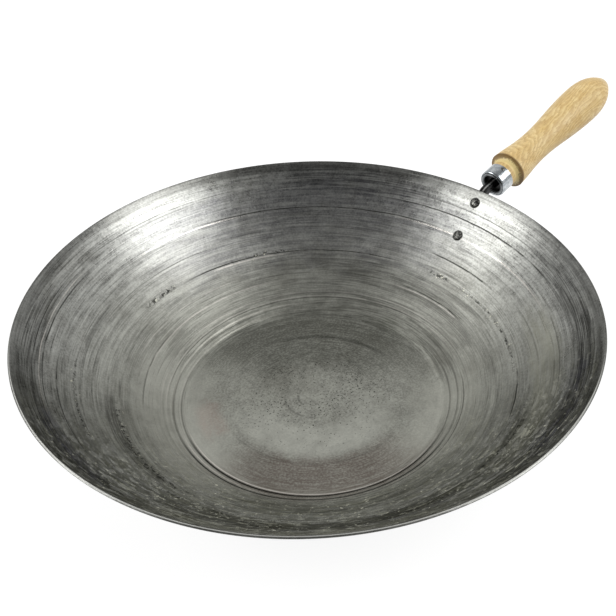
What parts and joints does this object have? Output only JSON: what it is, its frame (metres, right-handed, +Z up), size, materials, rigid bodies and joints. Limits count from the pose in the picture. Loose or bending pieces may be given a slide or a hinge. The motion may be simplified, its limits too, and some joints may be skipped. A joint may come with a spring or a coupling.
{
  "type": "wok",
  "caption": "Round carbon steel wok with a flat floor, gently curved wall and a long turned wooden handle on a riveted bracket.",
  "frame": {"origin": "centre of the underside of the bowl's flat floor", "axes": "+Z up out of the bowl, +X along the handle, seen from above"},
  "size_m": [0.5088, 0.356, 0.1152],
  "materials": {
    "carbon_steel": "spun, with fine turning lines, scratches and light heat stains",
    "black_steel": "satin black, forged",
    "rivet_steel": "dark oiled, domed",
    "plated_steel": "bright zinc plate with soft wear",
    "wood": "pale turned wood, thin clear lacquer",
    "pin_steel": "dull nail head"
  },
  "bodies": {
    "root": {"bowl": "carbon_steel", "handle_bracket": "black_steel", "rivet_upper": "rivet_steel", "rivet_lower": "rivet_steel", "ferrule": "plated_steel", "grip": "wood", "grip_pin": "pin_steel"}
  },
  "joints": []
}
